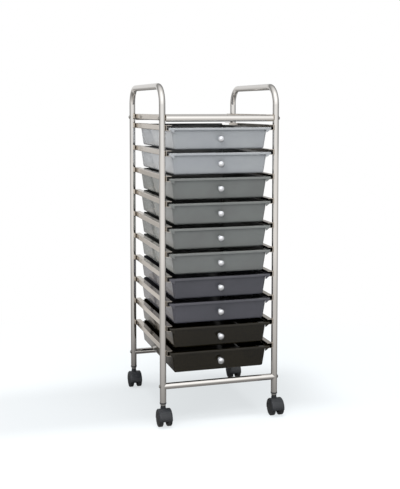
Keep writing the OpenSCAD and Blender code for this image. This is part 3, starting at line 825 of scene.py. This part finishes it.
# Studio
def studio_floor():
    """A pale floor. The camera sees it white but for the cart's cast shadow and a faint long
    painted shadow to the left. Reflections see it as a painted glow: lit in front of the cart
    and in a painted bright strip behind it, duller at its sides and darker close to its feet
    by painted shade."""
    material, tree, output = new_material("studio_floor")
    rays = add(tree, "ShaderNodeLightPath").outputs
    place = add(tree, "ShaderNodeTexCoord").outputs["Object"]
    reach = add(tree, "ShaderNodeVectorMath", links={0: place}, operation="LENGTH")
    matte = add(tree, "ShaderNodeBsdfDiffuse", {"Color": srgb("#E9EDF2")})
    parts = add(tree, "ShaderNodeSeparateXYZ", links={"Vector": place}).outputs
    # Painted shadow: a soft band on the floor to the cart's left, darkened by position, that no
    # lamp casts.
    clear, full = FIRST_EDGE
    shade = add(tree, "ShaderNodeMapRange",
                {"From Min": clear, "From Max": full, "To Max": SHADE_DEPTH},
                {"Value": parts["X"]}, interpolation_type="SMOOTHSTEP").outputs["Result"]
    for axis, clear, full in SHADE_EDGES:
        edge = add(tree, "ShaderNodeMapRange", {"From Min": clear, "From Max": full},
                   {"Value": parts[axis]}, interpolation_type="SMOOTHSTEP")
        shade = add(tree, "ShaderNodeMath", links={0: shade, 1: edge.outputs["Result"]},
                    operation="MULTIPLY").outputs["Value"]
    left_over = add(tree, "ShaderNodeMath", {0: 1.0}, {1: shade}, operation="SUBTRACT")
    grey = add(tree, "ShaderNodeVectorMath", {0: FLOOR_GREY},
               {"Scale": left_over.outputs["Value"]}, operation="SCALE")
    glow = add(tree, "ShaderNodeMath", {0: FLOOR_GLOW}, {1: left_over.outputs["Value"]},
               operation="MULTIPLY")
    seen_matte = add(tree, "ShaderNodeBsdfDiffuse", links={"Color": grey.outputs["Vector"]})
    lift = add(tree, "ShaderNodeEmission", {"Color": (0.94, 0.98, 1.0, 1)},
               {"Strength": glow.outputs["Value"]})
    near = add(tree, "ShaderNodeAddShader",
               links={0: seen_matte.outputs["BSDF"], 1: lift.outputs["Emission"]})
    far = add(tree, "ShaderNodeEmission", {"Color": (1, 1, 1, 1), "Strength": 1.0})
    fade = add(tree, "ShaderNodeMapRange", {"From Min": WHITE_FROM, "From Max": WHITE_AT},
               {"Value": reach.outputs["Value"]}, interpolation_type="SMOOTHSTEP")
    seen = add(tree, "ShaderNodeMixShader",
               links={"Fac": fade.outputs["Result"], 1: near.outputs["Shader"],
                      2: far.outputs["Emission"]})
    # Painted reflection: glossy rays see the floor as an emission graded by bearing and distance,
    # with painted shade near the cart's feet and a painted bright strip behind it.
    bearing = add(tree, "ShaderNodeVectorMath", links={0: place}, operation="NORMALIZE")
    ring = lobe(tree, bearing.outputs["Vector"], LIT_FLOOR_WAY, FLOOR_LEVELS)
    depth = add(tree, "ShaderNodeMapRange", {"From Max": FLOOR_FAR},
                {"Value": reach.outputs["Value"]})
    fall = add(tree, "ShaderNodeValToRGB", links={"Fac": depth.outputs["Result"]},
               stops=[(r / FLOOR_FAR, level) for r, level in FLOOR_FALL])
    strip = lobe(tree, bearing.outputs["Vector"], BRIGHT_STRIP_WAY, BRIGHT_STRIP_LEVELS)
    spread = add(tree, "ShaderNodeValToRGB", links={"Fac": depth.outputs["Result"]},
                 stops=[(r / FLOOR_FAR, level) for r, level in BRIGHT_STRIP_FALL])
    general = add(tree, "ShaderNodeMath", links={0: ring, 1: fall.outputs["Color"]},
                  operation="MULTIPLY")
    level = add(tree, "ShaderNodeMath",
                links={0: strip, 1: spread.outputs["Color"], 2: general.outputs["Value"]},
                operation="MULTIPLY_ADD")
    mirrored = add(tree, "ShaderNodeEmission", {"Color": (1.0, 0.975, 0.95, 1)},
                   {"Strength": level.outputs["Value"]})
    glossy = add(tree, "ShaderNodeMixShader",
                 links={"Fac": rays["Is Glossy Ray"], 1: matte.outputs["BSDF"],
                        2: mirrored.outputs["Emission"]})
    final = add(tree, "ShaderNodeMixShader",
                links={"Fac": rays["Is Camera Ray"], 1: glossy.outputs["Shader"],
                       2: seen.outputs["Shader"]})
    tree.links.new(final.outputs["Shader"], output.inputs["Surface"])
    bm = bmesh.new()
    bmesh.ops.create_grid(bm, x_segments=1, y_segments=1, size=FLOOR_HALF)
    floor = to_object("floor", bm)
    floor.data.materials.append(material)


def lobe(tree, way, towards, levels):
    """Brightness by how near a direction lies to another."""
    near = add(tree, "ShaderNodeVectorMath", {1: towards}, {0: way}, operation="DOT_PRODUCT")
    turned = add(tree, "ShaderNodeMapRange", {"From Min": -1.0}, {"Value": near.outputs["Value"]})
    level = add(tree, "ShaderNodeValToRGB", links={"Fac": turned.outputs["Result"]},
                stops=[(cosine / 2 + 0.5, level) for cosine, level in levels])
    return level.outputs["Color"]


def studio_world():
    """White behind the cart to the camera. Reflections see a pale room with a large soft light
    high at the front left and a window at the back."""
    world = bpy.data.worlds.new("studio")
    bpy.context.scene.world = world
    world.use_nodes = True
    tree = world.node_tree
    tree.nodes.clear()
    rays = add(tree, "ShaderNodeLightPath").outputs
    way = add(tree, "ShaderNodeTexCoord").outputs["Generated"]
    walls = lobe(tree, way, LIT_WALL_WAY, ROOM_LEVELS)
    window = lobe(tree, way, WINDOW_WAY, WINDOW_LEVELS)
    level = add(tree, "ShaderNodeMath", links={0: walls, 1: window}, operation="ADD")
    room = add(tree, "ShaderNodeBackground", {"Color": (1.0, 0.99, 0.98, 1)},
               {"Strength": level.outputs["Value"]})
    fill = add(tree, "ShaderNodeBackground",
               {"Color": (0.96, 0.98, 1.0, 1), "Strength": FILL_LEVEL})
    white = add(tree, "ShaderNodeBackground", {"Color": (1, 1, 1, 1), "Strength": 1.0})
    lit = add(tree, "ShaderNodeMixShader",
              links={"Fac": rays["Is Glossy Ray"], 1: fill.outputs["Background"],
                     2: room.outputs["Background"]})
    final = add(tree, "ShaderNodeMixShader",
                links={"Fac": rays["Is Camera Ray"], 1: lit.outputs["Shader"],
                       2: white.outputs["Background"]})
    output = add(tree, "ShaderNodeOutputWorld")
    tree.links.new(final.outputs["Shader"], output.inputs["Surface"])


def softbox(name, place, aim, size, power):
    """A soft rectangular light. Reflections see the room's own glow in its place."""
    light = bpy.data.lights.new(name, "AREA")
    light.shape = "RECTANGLE"
    light.size, light.size_y = size
    light.energy = power
    lamp = link_new(name, light)
    lamp.location = place
    lamp.rotation_euler = (Vector(aim) - Vector(place)).to_track_quat("-Z", "Y").to_euler()
    lamp.visible_glossy = False


def camera():
    """The photograph's view: from the front left, a little above the middle, f in pixels of
    an image 489 high."""
    image_h, focal, shift = 489, 903.2, -0.1324
    yaw, pitch = math.radians(16.651), math.radians(4.6)
    data = bpy.data.cameras.new("camera")
    data.sensor_width = 36
    data.lens = focal / image_h * data.sensor_width
    data.shift_y = shift
    data.clip_start, data.clip_end = 0.05, 60
    cam = link_new("camera", data)
    cam.location = (-0.7798, -2.5889, 0.8932)
    cam.rotation_euler = (math.pi / 2 - pitch, 0, -yaw)
    bpy.context.scene.camera = cam


def repaint(nodes, material):
    """Puts a material on CAD nodes that stay as they are."""
    for name in nodes:
        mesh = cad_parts[name].data
        mesh.materials.clear()
        mesh.materials.append(material)


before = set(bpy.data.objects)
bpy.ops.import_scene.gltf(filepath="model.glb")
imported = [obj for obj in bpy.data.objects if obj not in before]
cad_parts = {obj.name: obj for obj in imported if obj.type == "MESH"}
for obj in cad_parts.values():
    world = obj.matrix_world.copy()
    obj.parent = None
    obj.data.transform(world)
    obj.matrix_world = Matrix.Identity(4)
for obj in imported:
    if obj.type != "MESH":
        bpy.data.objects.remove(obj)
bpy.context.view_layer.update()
bpy.context.scene.view_settings.view_transform = "Standard"

tube_chrome = chromed_steel("chromed_tube", "#E6E4E1", (900, 900, 14), 0.03, 0.08)
bar_chrome = chromed_steel("chromed_bar", "#E6E4E1", (14, 900, 900), 0.03, 0.08)
sheet_chrome = chromed_steel("chromed_sheet", "#D2CBC2", (700, 12, 700), 0.12, 0.2)
steel = zinc_plated_steel()
nickel = satin_nickel()
socket_plastic = grained_nylon("moulded_socket", "#232427", "#2A2B2E", 1500, 0.45, 0.6)
hood_plastic = grained_nylon("grained_nylon_hood", "#1E2023", "#26282C", 1400, 0.34, 0.52)
wheel_nylon = grained_nylon("moulded_nylon_wheel", "#1B1C1E", "#242526", 900, 0.42, 0.6)
light = ("drawer_light", glossy_moulding("light_grey_moulding", "#9A9C9F", "#A0A2A3"))
mid = ("drawer_mid", glossy_moulding("mid_grey_moulding", "#6A6B69", "#707370"))
dark = ("drawer_dark", glossy_moulding("dark_grey_moulding", "#46464B", "#4C4B51"))
black = ("drawer_black", glossy_moulding("black_moulding", "#141108", "#1A160C"))
tray_grey = glossy_moulding("tray_moulding", "#3A3B3E", "#3F4043", 0.3, 0.42)

repaint(["side_frame_left", "side_frame_right"], tube_chrome)
repaint(["bar_top_front", "bar_top_back", "bar_low_front", "bar_low_back"], bar_chrome)
repaint(["rails_tray"] + [f"rails_{level}" for level in LEVELS], sheet_chrome)
repaint(["bar_bolts", "bar_plugs", "caster_stems"] + [f"axle_{c}" for c in CORNERS], steel)
repaint(["caster_sockets"], socket_plastic)

drawers(dict(zip(LEVELS, [light] * 2 + [mid] * 4 + [dark] * 2 + [black] * 2)))
tray(tray_grey)
knobs(nickel, steel)
casters(hood_plastic, wheel_nylon)
welds(sheet_chrome)

studio_floor()
studio_world()
for lamp in LAMPS:
    softbox(*lamp)
camera()
